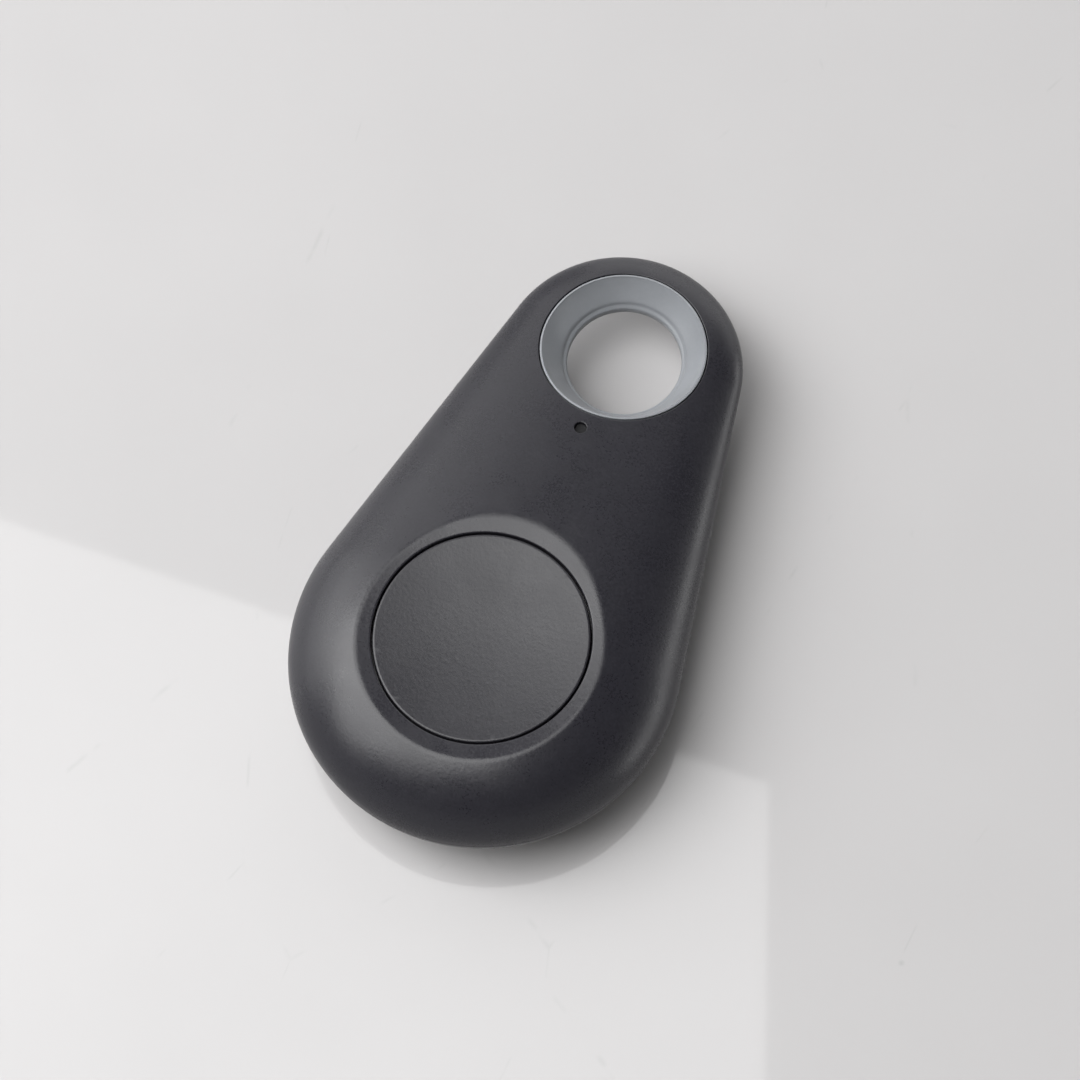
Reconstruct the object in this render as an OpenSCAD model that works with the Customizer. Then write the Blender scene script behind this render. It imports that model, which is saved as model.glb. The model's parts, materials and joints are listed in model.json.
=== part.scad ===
// Bluetooth tracker tag: a pear-shaped key finder with a round push button in a
// thumb dish, a key ring eye with a pale collar, and a coin cell inside.
// Origin: on the table under the middle of the tag. +Y points from the wide
// button end to the key ring eye, +Z points up out of the button face.

/* [Body] */
// Length over both ends
tag_length = 52; // [51:0.5:54]
// Width at the wide, button end
tag_width = 31; // [31:0.5:33]
// Greatest thickness, at the rim of the thumb dish
tag_thickness = 11; // [10.9:0.05:11.2]
// Width of the narrow end, round the key ring eye
eye_end_width = 20; // [20:0.5:21]
// Thickness of the narrow end
eye_end_thickness = 6.6; // [6.4:0.1:7]
// Height of the parting line above the table
seam_z = 6.1; // [6:0.05:6.2]
// Wall thickness of the top and the floor
wall = 1.1; // [1:0.05:1.2]
// Wall thickness of the sides at the parting line
side_wall = 1.3; // [1.2:0.05:1.35]

/* [Button] */
// Radius of the rim of the thumb dish
dish_r = 9.88; // [9.7:0.02:9.98]
// Depth of the thumb dish in its middle
dish_depth = 0.7; // [0.6:0.05:0.8]
// Radius of the button cap
cap_r = 8.35; // [8.2:0.05:8.4]
// Open gap round the button cap
cap_gap = 0.35; // [0.25:0.05:0.4]
// How far the button travels
cap_travel = 0.35; // [0.25:0.05:0.4]

/* [Key ring eye] */
// Radius of the cylindrical throat that the key ring passes through
throat_r = 4.65; // [4.4:0.05:4.9]
// Height of the cylindrical throat
throat_h = 1.6; // [1.2:0.1:2]
// Outer radius of the collar
collar_r = 6.72; // [6.6:0.04:6.8]
// How far the eye is set towards the tip from the centre of the narrow end
eye_offset = 1; // [0.8:0.1:1.1]

/* [Electronics] */
// Radius of the coin cell
cell_r = 10; // [9.8:0.1:10]
// Thickness of the coin cell
cell_h = 3.2; // [2.5:0.1:3.2]
// Thickness of the circuit board
board_h = 0.8; // [0.6:0.1:0.8]
// Radius of the buzzer's brass plate
buzzer_r = 4.6; // [4:0.1:4.6]

/* [Hidden] */

$fn = 48;
tiny = 0.01;                 // overshoot of a cut past the face it opens
fine = 360;                  // sides of the large sphere behind the thumb dish

// Ends of the pear-shaped outline
wide_r = tag_width / 2;
button_y = wide_r - tag_length / 2;
end_r = eye_end_width / 2;
end_y = tag_length / 2 - end_r;
eye_y = end_y + eye_offset;

// Crowned surfaces: how far the rounding reaches in from the outline, and its exponent
shell_facets = 64;
crown_steps = 8;
front_reach = 10.2;
end_reach = 7.4;
rear_reach = 9.3;
front_power = 1.8;
rear_power = 2;
hollow_power = 2.4;
dome_cut = 0.43;             // how much of the dome's top the thumb dish takes away
wide_rise = tag_thickness - seam_z + dome_cut;
end_rise = 2.6;
end_drop = eye_end_thickness - end_rise;
hollow_step = 1;             // how much shorter the rounding is inside than outside

// Tongue on the rear cover and the pocket that takes it
lip_gap = 0.12;
lip_w = 0.6;
lip_h = 1;
lip_root = 1.4;
lip_out = side_wall + lip_gap;
lip_in = lip_out + lip_w;
inner_edge = lip_in + lip_gap;
bead_out = 0.07;

// Collar of the eye
collar_gap = 0.1;
flange_r = collar_r + 0.8;
flange_z = 5.05;
flange_h = 0.85;
throat_z = 4.6;
boss_w = 0.8;
collar_lip = 0.22;
throat_step = 0.2;
front_rim = [9.3, 7.5];      // where the front flare is full width, near the button and at the tip
rear_rim = [1.75, 3.55];     // the same for the rear flare

// Stack of parts under the button
clip_h = 0.2;
clip_w = 5;
cell_gap = 0.15;
holder_w = 1.4;
leg_x = cell_r + cell_gap + 0.01;
cell_z = 2;
holder_z = 2.6;
cell_top = cell_z + cell_h;
board_z = cell_z + 3.55;
board_top = board_z + board_h;
switch_w = 4.5;
switch_h = 1.2;
switch_floor = 0.4;
cover_h = 0.2;
plunger_r = 1.2;
dome_r = 1.7;
dome_h = 0.45;
plunger_z = board_top + switch_floor + dome_h;
plunger_top = board_top + 1.92;
press_gap = 0.03;            // between the cap's nub and the switch's plunger
flange_low = 8.9;
flange_top = 9.55;
cap_hollow_z = flange_low + 0.25;
cap_flange_r = cap_r + 1;
guide_r = cap_flange_r + 0.15;
guide_low = flange_low - cap_travel - 0.15;
guide_w = 0.75;
shelf_z = flange_top + 0.05;    // shelf in the shell that stops the cap's flange
dish_rim_z = tag_thickness - 0.22;
dish_tilt = 0.8;             // the dish leans with the front face, up towards the eye
dish_ball_r = (dish_r * dish_r + dish_depth * dish_depth) / (2 * dish_depth);
dish_ball_y = button_y - dish_ball_r * sin(dish_tilt);
dish_ball_z = dish_rim_z - dish_depth + dish_ball_r * cos(dish_tilt);
bevel = 0.16;

// Posts, given for the right side and mirrored to the left
board_posts = [[10.2, button_y - 6.7], [10.2, button_y + 6.7], [6.6, 5.2]];
cover_posts = [[5.8, button_y - 10.9], [5.8, button_y + 10.9], [6.8, 6.6]];
post_r = 0.9;
pin_r = 0.5;
pin_gap = 0.05;

// Light guide and light
light_x = -0.1;
light_y = eye_y - 8.25;
light_hole_r = 0.5;
light_recess = 0.55;
lens_r = 0.8;
lens_back = 0.3;             // how far the guide's lens and the light sit back from the hole
led_back = 0.55;
led_h = 0.65;
led_gap = 0.08;
ridge_slope = (wide_rise - end_rise) / (end_y - button_y);
light_face_z = tag_thickness - ridge_slope * (light_y - button_y - dish_r);

// Buzzer in the neck
buzzer_y = 3.3;
plate_h = 0.15;
ceramic_h = 0.15;
glue_h = 0.1;
buzzer_z = 8;
plate_z = buzzer_z + ceramic_h;
glue_z = plate_z + plate_h;
seat_r = buzzer_r - 0.8;      // inner radius of the seat that the plate is glued to
ceramic_r = buzzer_r * 0.72;
wire_r = 0.28;
wire_bend = 0.6;

// Colours
shell_grey = [0.16, 0.16, 0.17];
cap_grey = [0.2, 0.2, 0.21];
pale_grey = [0.6, 0.63, 0.66];
board_green = [0.05, 0.3, 0.15];
black = [0.06, 0.06, 0.06];
steel = [0.72, 0.72, 0.7];
gold = [0.85, 0.7, 0.35];
brass = [0.8, 0.65, 0.3];
cream = [0.85, 0.8, 0.68];
copper = [0.75, 0.45, 0.25];

// --- Shared shapes ---------------------------------------------------------

// Points of a quarter of a rounded edge: from the outline to the flat middle
function crown(r, reach, rise, power) = [
    for (i = [0 : crown_steps])
        let (a = 90 * i / crown_steps)
        [r - reach * (1 - pow(cos(a), 2 / power)), rise * pow(sin(a), 2 / power)]
];

// One end of the body: a round cushion standing across the parting line
module cushion(r, front, rear) {
    top = crown(r, front[0], front[1], front[2]);
    low = crown(r, rear[0], rear[1], rear[2]);
    rotate_extrude($fn = shell_facets)
        polygon(concat(
            [[0, seam_z + front[1]]],
            [for (i = [crown_steps : -1 : 0]) [top[i][0], seam_z + top[i][1]]],
            [for (i = [1 : crown_steps]) [low[i][0], seam_z - low[i][1]]],
            [[0, seam_z - rear[1]]]));
}

// Outer shape of the whole tag
module crowned_body()
    hull() {
        translate([0, button_y, 0])
            cushion(wide_r, [front_reach, wide_rise, front_power],
                    [rear_reach, seam_z, rear_power]);
        translate([0, end_y, 0])
            cushion(end_r, [end_reach, end_rise, front_power],
                    [end_reach, end_drop, rear_power]);
    }

// Hollow inside the tag
module hollow()
    hull() {
        translate([0, button_y, 0])
            cushion(wide_r - side_wall,
                    [front_reach - hollow_step, wide_rise - wall, front_power],
                    [rear_reach - hollow_step, seam_z - wall, hollow_power]);
        translate([0, end_y, 0])
            cushion(end_r - side_wall,
                    [end_reach - hollow_step, end_rise - wall, front_power],
                    [end_reach - hollow_step, end_drop - wall, hollow_power]);
    }

// Pear-shaped plan, drawn in by inset from the outline
module pear(inset) {
    tilt = asin((wide_r - end_r) / (end_y - button_y));
    w = wide_r - inset;
    e = end_r - inset;
    translate([0, button_y]) circle(w);
    translate([0, end_y]) circle(e);
    polygon([[w * cos(tilt), button_y + w * sin(tilt)],
             [e * cos(tilt), end_y + e * sin(tilt)],
             [-e * cos(tilt), end_y + e * sin(tilt)],
             [-w * cos(tilt), button_y + w * sin(tilt)]]);
}

// Upright plate with the pear-shaped plan
module pear_plate(inset, z, h)
    translate([0, 0, z]) linear_extrude(h) pear(inset);

// Upright wall that follows the pear-shaped plan between two insets
module pear_wall(outer, inner, z, h)
    difference() {
        pear_plate(outer, z, h);
        pear_plate(inner, z - tiny, h + 2 * tiny);
    }

// Round disc or ring standing at a point of the plan
module disc(x, y, z, r, h)
    translate([x, y, z]) cylinder(r = r, h = h);

module ring(x, y, z, outer, inner, h)
    difference() {
        disc(x, y, z, outer, h);
        disc(x, y, z - tiny, inner, h + 2 * tiny);
    }

// Block standing on z with its middle at x, y
module block(x, y, z, size)
    translate([x - size[0] / 2, y - size[1] / 2, z]) cube(size);

// The same thing on the right side and on the left
module both_sides() {
    children();
    mirror([1, 0, 0]) children();
}

module at_points(points)
    both_sides() for (p = points) translate([p[0], p[1], 0]) children();

// Everything above or below the parting line
module above_seam() block(0, 0, seam_z, [2 * tag_length, 2 * tag_length, tag_thickness]);
module below_seam() block(0, 0, seam_z - tag_thickness, [2 * tag_length, 2 * tag_length, tag_thickness]);

// Ball whose underside is the thumb dish
module dish_ball()
    translate([0, dish_ball_y, dish_ball_z]) sphere(dish_ball_r, $fn = fine);

// Points where the snap beads sit on the tongue, with the way they face
function side_point(along) = let (
        tilt = asin((wide_r - end_r) / (end_y - button_y)),
        w = wide_r - lip_out,
        e = end_r - lip_out)
    [(w + (e - w) * along) * cos(tilt),
     button_y + (end_y - button_y) * along + (w + (e - w) * along) * sin(tilt), tilt];

// --- Casing ----------------------------------------------------------------

module front_shell()
    color(shell_grey)
    difference() {
        intersection() {
            crowned_body();
            above_seam_and_bosses();
        }
        dish_ball();
        disc(0, button_y, 0, cap_r + cap_gap, 2 * tag_thickness);
        disc(0, button_y, 0, guide_r, shelf_z);
        disc(0, eye_y, 0, collar_r + collar_gap, tag_thickness);
        disc(light_x, light_y, 0, light_hole_r, 2 * tag_thickness);
        disc(light_x, light_y - lens_back, 0, lens_r + 0.1, board_top + led_h + 0.7);
        pear_wall(side_wall, inner_edge, 0, seam_z + lip_h + 0.1);
    }

// The front half with its hollow, the button's guide, the posts and the collar's boss
module above_seam_and_bosses() {
    difference() {
        above_seam();
        hollow();
    }
    ring(0, button_y, shelf_z, guide_r + guide_w, cap_r, 1);
    ring(0, button_y, guide_low, guide_r + guide_w, guide_r, 2);
    ring(0, buzzer_y, glue_z + glue_h, buzzer_r, seat_r, 2);
    ring(0, eye_y, flange_z + flange_h + 0.05, collar_r + collar_gap + boss_w,
         collar_r, 4);
    at_points(board_posts) {
        translate([0, 0, board_top]) cylinder(r = post_r, h = 3.6);
        translate([0, 0, board_z - 0.4]) cylinder(r = pin_r, h = 2);
    }
}

module rear_cover()
    color(shell_grey)
    difference() {
        union() {
            intersection() {
                crowned_body();
                below_seam_and_bosses();
            }
            pear_wall(lip_out, lip_in, seam_z - tiny, lip_h + tiny);
            snap_beads();
        }
        disc(0, eye_y, -1, collar_r + collar_gap, tag_thickness);
        pry_notch();
    }

// The rear half with its hollow, the tongue's root, the posts and the collar's boss
module below_seam_and_bosses() {
    difference() {
        below_seam();
        hollow();
    }
    pear_wall(side_wall - 0.2, lip_in, seam_z - lip_root, lip_root);
    ring(0, eye_y, 1, collar_r + collar_gap + boss_w, collar_r, flange_z - 1.05);
    at_points(cover_posts) translate([0, 0, 0.5]) cylinder(r = 0.7, h = board_z - 0.6);
    both_sides() block(4.6, button_y, 0.5, [0.7, 13, clip_bottom() - 0.6]);
}

// Small beads on the tongue that snap behind the front shell's edge
module snap_beads()
    both_sides() for (along = [0.12, 0.5, 0.88]) let (p = side_point(along))
        translate([p[0], p[1], seam_z + lip_h / 2])
            rotate([90, 0, p[2]])
                translate([bead_out - 0.2, 0, -1.2])
                    cylinder(r = 0.2, h = 2.4);

// Notch at the tip of the cover for a coin or a nail to open it
module pry_notch()
    translate([0, tag_length / 2 + 1.4, seam_z - 0.5])
        cylinder(r = 2.4, h = 0.5 + tiny);

module key_ring_collar()
    color(pale_grey)
    difference() {
        union() {
            intersection() {
                crowned_body();
                disc(0, eye_y, 0, collar_r, tag_thickness);
            }
            intersection() {
                disc(0, eye_y, flange_z, flange_r, flange_h);
                pear_plate(inner_edge, flange_z, flange_h);
            }
        }
        disc(0, eye_y, 0, throat_r, tag_thickness);
        flare(throat_z + throat_h, front_rim, 1);
        flare(throat_z, rear_rim, -1);
    }

// Opening between the throat and one rim of the collar; up is 1 or -1
module flare(z, rim, up) {
    rise = rim[1] - rim[0];
    slope = atan(rise / (2 * collar_r));
    middle = (rim[0] + rim[1]) / 2;
    hull() {
        translate([0, eye_y, z - (up < 0 ? tiny : 0)])
            cylinder(r = throat_r + throat_step, h = tiny);
        translate([0, eye_y, middle])
            rotate([slope, 0, 0])
                translate([0, 0, up < 0 ? -1 : 0])
                    cylinder(r = collar_r - collar_lip, h = 1);
    }
}

module light_guide()
    color("dimgray") {
        low = board_top + led_h + led_gap;
        disc(light_x, light_y, low, light_hole_r - 0.04, light_face_z - light_recess - low);
        disc(light_x, light_y - lens_back, low, lens_r, 0.45);
    }

// --- Button ----------------------------------------------------------------

module button_cap()
    color(cap_grey)
    difference() {
        union() {
            disc(0, button_y, flange_low, cap_r, tag_thickness - flange_low);
            disc(0, button_y, flange_low, cap_flange_r, flange_top - flange_low);
            disc(0, button_y, plunger_top + press_gap, 1.5, 1.5);
        }
        dish_ball();
        difference() {
            disc(0, button_y, flange_low - tiny, cap_r - 0.9, cap_hollow_z - flange_low + tiny);
            disc(0, button_y, plunger_top, 1.5, 2);
            for (a = [0, 90]) translate([0, button_y, flange_low])
                rotate([0, 0, a]) block(0, 0, -0.1, [2 * cap_r, 0.7, 1]);
        }
        edge_bevel();
    }

// Small bevel round the top edge of the cap
module edge_bevel() {
    edge_z = dish_ball_z - sqrt(dish_ball_r * dish_ball_r - cap_r * cap_r);
    translate([0, button_y, 0]) rotate_extrude()
        polygon([[cap_r - bevel, edge_z + 0.05], [cap_r + 1, edge_z + 0.05],
                 [cap_r + 1, edge_z - bevel], [cap_r, edge_z - bevel]]);
}

// --- Circuit board and what is soldered to it ----------------------------------

module circuit_board()
    color(board_green)
    difference() {
        pear_plate(inner_edge + 0.25, board_z, board_h);
        disc(0, eye_y, board_z - 1, flange_r + 0.4, 3);
        block(0, eye_y + 1, board_z - 1, [30, 18, 3]);
        at_points(board_posts)
            translate([0, 0, board_z - 1]) cylinder(r = pin_r + pin_gap, h = 3);
    }

// Folded copper aerial along the board's narrow edge
module antenna_trace()
    color(copper) {
        turns = 4;
        pitch = 1.1;
        depth = 2.4;
        aerial_y = 7.1;
        line = 0.35;
        height = 0.05;
        for (i = [0 : turns]) {
            x = -5.2 + i * pitch;
            block(x, aerial_y - depth / 2, board_top, [line, depth, height]);
            if (i < turns)
                block(x + pitch / 2, aerial_y - (i % 2) * depth, board_top,
                      [pitch + line, line, height]);
        }
    }

// Gold-plated pads for tests and for the buzzer's wires
module contact_pads()
    color(gold) {
        for (x = [-3.6, -1.8, 0, 1.8, 3.6])
            disc(x, button_y - 9.6, board_top, 0.5, 0.05);
        for (p = wire_feet()) disc(p[0], p[1], board_top, 0.8, 0.05);
        for (y = [-1, 1]) block(11.2, button_y + 2.2 * y, board_top, [1.6, 1.2, 0.05]);
    }

// Solder at the feet of the wires and where the clip's tabs come through
module solder_joints()
    color(steel) {
        for (p = wire_feet()) ring(p[0], p[1], board_top + 0.05, 0.62, wire_r, 0.4);
        both_sides()
            block(leg_x + clip_h + 0.2, button_y, board_z - 0.25, [0.4, 3, 0.25]);
    }

module radio_chip()
    color(black) block(-6.6, button_y - 3.2, board_top, [5, 5, 0.9]);

module main_crystal()
    color(steel) block(-7.6, button_y + 2.4, board_top, [2.5, 3.2, 0.7]);

module clock_crystal()
    color(steel) block(-4.4, button_y + 6.2, board_top, [3.2, 1.5, 0.8]);

module power_inductor()
    color([0.25, 0.24, 0.23]) block(6.9, button_y - 4.4, board_top, [2.4, 2, 1]);

// Small ceramic capacitors and resistors: middle of each and whether it is turned
capacitor_places = [[-3.5, -7.1, 0], [-1.7, -7.1, 0], [-9.9, 0.8, 1], [-5, 0.7, 1],
                    [4.6, -6.6, 0], [9.2, -4.2, 1], [5.6, 6.4, 0]];
resistor_places = [[6.2, 0.9, 1], [7.4, 0.9, 1], [2.4, 6.8, 0], [0.2, -7.1, 0], [8.6, 1.1, 1]];
chip_size = [1, 0.5, 0.5];

module chips(places)
    for (p = places)
        translate([p[0], button_y + p[1], board_top])
            rotate([0, 0, 90 * p[2]]) block(0, 0, 0, chip_size);

module chip_capacitors() color([0.65, 0.5, 0.35]) chips(capacitor_places);
module chip_resistors() color(black) chips(resistor_places);

module status_led()
    color("ivory") {
        block(light_x, light_y - led_back, board_top, [1.6, 0.8, 0.25]);
        block(light_x, light_y - led_back, board_top + 0.25, [1.1, 0.8, led_h - 0.25]);
    }

// --- Tact switch under the button ------------------------------------------------

module switch_base()
    color(black)
    difference() {
        block(0, button_y, board_top, [switch_w, switch_w, switch_h]);
        disc(0, button_y, board_top + switch_floor, dome_r + 0.15, switch_h);
    }

// Snap dome: a shallow round cap that flattens as the plunger comes down
module switch_dome()
    color(steel)
    translate([0, button_y, board_top + switch_floor])
        rotate_extrude()
            polygon([[0, dome_h - 0.12], [0.9, dome_h - 0.16], [1.3, dome_h - 0.26], [dome_r - 0.12, 0],
                     [dome_r, 0], [1.45, dome_h - 0.13], [0.95, dome_h - 0.02], [0, dome_h - 0.02]]);

module switch_plunger()
    color([0.75, 0.72, 0.66]) {
        disc(0, button_y, plunger_z, dome_r - 0.1, 0.3);
        disc(0, button_y, plunger_z, plunger_r, plunger_top - plunger_z);
    }

module switch_cover()
    color(steel) {
        ring_hole = plunger_r + 0.12;
        difference() {
            block(0, button_y, board_top + switch_h, [switch_w, switch_w, cover_h]);
            disc(0, button_y, board_top + switch_h - 1, ring_hole, 3);
        }
        both_sides()
            block(switch_w / 2 + 0.08, button_y, board_top + 0.35, [0.15, 2.4, switch_h + cover_h - 0.35]);
    }

module switch_terminals()
    color(steel)
        both_sides() for (y = [-1.5, 1.5])
            block(switch_w / 2 + 0.6, button_y + y, board_top, [1.2, 0.7, 0.18]);

// --- Coin cell and its contacts ---------------------------------------------------

function clip_bottom() = cell_z - clip_h - 0.03;

module battery_holder()
    color(black)
    difference() {
        ring(0, button_y, holder_z, cell_r + holder_w, cell_r + cell_gap, board_z - holder_z);
        both_sides()
            block(leg_x, button_y, 0, [1.2, clip_w + 0.3, board_top]);
        block(0, button_y - cell_r, 0, [9, 6, board_z - 1.1]);
    }

// Sprung strap under the cell, with a leg up each side to the board
module positive_clip()
    color(steel) {
        block(0, button_y, clip_bottom(), [2 * leg_x + 2 * clip_h, clip_w, clip_h]);
        both_sides()
            translate([leg_x, button_y - clip_w / 2, clip_bottom()])
                cube([clip_h, clip_w, board_z - clip_bottom()]);
    }

// Sprung leaf between the cell's negative face and the board
module negative_contact()
    color(steel)
    difference() {
        union() {
            block(0, button_y, board_z - 0.15, [9, 3, 0.15]);
            disc(0, button_y, cell_top, 2.2, board_z - cell_top);
        }
        disc(0, button_y, cell_top - 1, 1.4, board_z - cell_top + 0.85);
    }

module cell_can()
    color(steel) revolve([
        [0, 0], [cell_r - 0.35, 0], [cell_r, 0.35], [cell_r, cell_h - 0.35], [cell_r - 0.3, cell_h - 0.15],
        [cell_r - 0.75, cell_h - 0.15], [cell_r - 0.75, cell_h - 0.35], [cell_r - 0.25, cell_h - 0.35],
        [cell_r - 0.25, 0.25], [0, 0.25]]);

module cell_gasket()
    color("whitesmoke") revolve([
        [cell_r - 0.7, 0.25], [cell_r - 0.25, 0.25], [cell_r - 0.25, cell_h - 0.35],
        [cell_r - 0.95, cell_h - 0.35], [cell_r - 0.95, cell_h - 0.55], [cell_r - 0.7, cell_h - 0.55]]);

module cell_cap()
    color(steel) revolve([
        [0, cell_h], [cell_r - 1.35, cell_h], [cell_r - 0.95, cell_h - 0.4], [cell_r - 0.95, cell_h - 0.55],
        [cell_r - 0.7, cell_h - 0.55], [cell_r - 0.7, 0.8], [cell_r - 0.9, 0.8], [cell_r - 0.9, cell_h - 0.7],
        [cell_r - 1.4, cell_h - 0.25], [0, cell_h - 0.25]]);

// Filling of the cell, from the can up
module cell_cathode() color([0.15, 0.15, 0.15]) disc(0, button_y, cell_z + 0.25, cell_r - 1.1, 1.4);
module cell_separator() color("white") disc(0, button_y, cell_z + 1.65, cell_r - 1.1, 0.1);
module cell_anode() color([0.6, 0.6, 0.62]) disc(0, button_y, cell_z + 1.75, cell_r - 1.6, cell_h - 2);

// Turned shape standing on the coin cell's underside
module revolve(points)
    translate([0, button_y, cell_z]) rotate_extrude() polygon(points);

// --- Buzzer ---------------------------------------------------------------------

module buzzer_plate()
    color(brass) disc(0, buzzer_y, plate_z, buzzer_r, plate_h);

module buzzer_ceramic()
    color(cream) disc(0, buzzer_y, buzzer_z, ceramic_r, ceramic_h);

module buzzer_adhesive()
    color("gainsboro")
        ring(0, buzzer_y, glue_z, buzzer_r, seat_r, glue_h);

// Where the two wires stand on the board
function wire_feet() = [[5.9, 1.6], [-5.9, 1.6]];

// Wire from a pad on the right of the board, up and over to a point under the buzzer
module bent_wire(top_z, run) {
    foot = wire_feet()[0];
    foot_z = board_top + 0.05;
    translate([foot[0], foot[1], foot_z])
        cylinder(r = wire_r, h = top_z - wire_bend - foot_z);
    translate([foot[0] - wire_bend, foot[1], top_z - wire_bend])
        rotate([90, 0, 0])
            rotate_extrude(angle = 90) translate([wire_bend, 0]) circle(wire_r);
    translate([foot[0] - wire_bend, foot[1], top_z])
        rotate([0, -90, 0]) cylinder(r = wire_r, h = run);
}

module buzzer_wire_red()
    color("red") bent_wire(plate_z - wire_r, 1.3);

module buzzer_wire_black()
    color([0.1, 0.1, 0.1]) mirror([1, 0, 0]) bent_wire(buzzer_z - wire_r, 2.6);

front_shell();
rear_cover();
button_cap();
key_ring_collar();
light_guide();
circuit_board();
antenna_trace();
contact_pads();
solder_joints();
radio_chip();
main_crystal();
clock_crystal();
power_inductor();
chip_capacitors();
chip_resistors();
status_led();
switch_base();
switch_dome();
switch_plunger();
switch_cover();
switch_terminals();
battery_holder();
positive_clip();
negative_contact();
cell_can();
cell_gasket();
cell_cap();
cell_cathode();
cell_separator();
cell_anode();
buzzer_plate();
buzzer_ceramic();
buzzer_adhesive();
buzzer_wire_red();
buzzer_wire_black();
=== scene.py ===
"""Looks of the bluetooth tracker tag: smooth casing pieces round the CAD frame, and every material."""
import json
import math

import bmesh
import bpy
import numpy as np
from mathutils import Matrix, Vector
from mathutils.geometry import delaunay_2d_cdt


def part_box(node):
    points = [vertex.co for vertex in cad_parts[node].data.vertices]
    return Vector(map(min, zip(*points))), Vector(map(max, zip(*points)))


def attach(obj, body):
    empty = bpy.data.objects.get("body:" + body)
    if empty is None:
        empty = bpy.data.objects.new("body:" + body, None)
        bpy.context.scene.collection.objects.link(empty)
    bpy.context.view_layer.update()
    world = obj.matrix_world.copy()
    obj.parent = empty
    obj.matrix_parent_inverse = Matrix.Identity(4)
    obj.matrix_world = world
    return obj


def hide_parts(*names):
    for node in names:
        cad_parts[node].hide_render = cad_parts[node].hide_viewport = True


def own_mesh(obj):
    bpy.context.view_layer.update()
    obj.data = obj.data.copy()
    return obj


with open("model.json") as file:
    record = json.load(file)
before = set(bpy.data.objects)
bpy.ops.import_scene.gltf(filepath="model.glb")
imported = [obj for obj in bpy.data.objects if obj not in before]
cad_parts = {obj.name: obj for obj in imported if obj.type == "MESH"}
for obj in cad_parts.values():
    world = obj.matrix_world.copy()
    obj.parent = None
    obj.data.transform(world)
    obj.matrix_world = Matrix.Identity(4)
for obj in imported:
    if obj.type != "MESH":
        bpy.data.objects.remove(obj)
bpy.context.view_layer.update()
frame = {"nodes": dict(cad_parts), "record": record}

# ---------------- dimensions
# Lengths are in millimetres until a mesh is made. The outline, the button and the eye follow the frame.
MM = 0.001

low = np.array(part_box("rear_cover")[0]) / MM
high = np.array(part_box("front_shell")[1]) / MM
mounts = {m["name"]: m for m in frame["record"]["mounts"]}

wide_r = (high[0] - low[0]) / 2
button_y = low[1] + wide_r
end_r = 10.0
end_y = high[1] - end_r
span = end_y - button_y
eye_y = mounts["key_ring_eye"]["pos_m"][1] / MM
seam_z = 6.1  # parting line between the two halves
seam_soft = 0.09  # rounding of the edges that meet there
side_wall = 1.3
wall = 1.1

# Crowned halves of the body: radius, reach, rise and power of the cushion at each end
FRONT = {"up": 1, "wide": (wide_r, 10.2, 5.33, 1.8), "end": (end_r, 7.4, 2.6, 1.8)}
REAR = {"up": -1, "wide": (wide_r, 9.3, seam_z, 2.0), "end": (end_r, 7.4, 4.0, 2.0)}

# Thumb dish, the underside of a large ball that leans with the front face
dish_r = 9.88
dish_depth = 0.7
dish_rim_z = 10.78
dish_tilt = math.radians(0.8)
ball_r = (dish_r ** 2 + dish_depth ** 2) / (2 * dish_depth)
ball_y = button_y - ball_r * math.sin(dish_tilt)
ball_z = dish_rim_z - dish_depth + ball_r * math.cos(dish_tilt)
crease_blend = 0.11

cap_r = 8.45
cap_hole_r = 8.6
cap_soft = 0.2
hole_soft = 0.14
flange_low = 8.9
flange_top = 9.55
cap_flange_r = 9.35
cap_chamfer = 0.1
cap_wall = 0.9
cap_hollow = 0.25  # depth of the hollow under the cap
nub_r = 1.5
nub_low = 8.3
guide_r = cap_flange_r + 0.15
guide_w = 0.75
guide_low = 8.4
shelf_z = flange_top + 0.05  # the flange stops against this ledge of the shell
shelf_h = 0.55

collar_r = 6.72
collar_hole_r = collar_r + 0.1
eye_soft = 0.1  # rounding of the casing's edge round the collar
eye_margins = (0.36, 0.2)  # loops of the casing outside that edge
collar_lip = 0.12
collar_soft = 0.05
collar_flange_r = collar_r + 0.8
collar_flange_z = 5.05
collar_flange_h = 0.85
boss_w = 0.8
throat_r = 4.65
throat_z = (4.6, 6.2)
# Rounded step from the flare to the throat: distance outside the throat, and fall below the flare's end
throat_step = ((0.36, 0.1), (0.32, 0.2), (0.26, 0.28), (0.17, 0.34), (0.08, 0.4), (0.02, 0.48), (0, 0.6))

light_x = -0.1
light_y = eye_y - 8.25
light_hole_r = 0.5

# Tongue of the rear cover, as insets from the outline, and the snap beads on it
play = 0.12
lip_out = side_wall + play
lip_in = lip_out + 0.6
inner_edge = lip_in + play
lip_h = 1.0
lip_root = 1.4
bead_r = 0.2
bead_proud = 0.07
bead_length = 2.4

# Posts that hold the circuit board, ribs under the cell and the buzzer's seat; x is right of the middle
board_z = 5.55
board_top = 6.35
board_posts = [(10.2, button_y - 6.7), (10.2, button_y + 6.7), (6.6, 5.2)]
cover_posts = [(5.8, button_y - 10.9), (5.8, button_y + 10.9), (6.8, 6.6)]
post_r = 0.9
pin_r = 0.5
cover_post_r = 0.7
cover_inside_z = 0.5
rib_x = 4.6
rib_size = (0.7, 13, 1.17)
buzzer_y = 3.3
buzzer_seat_r = (4.6, 4.0)
buzzer_seat_z = 8.4

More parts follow.
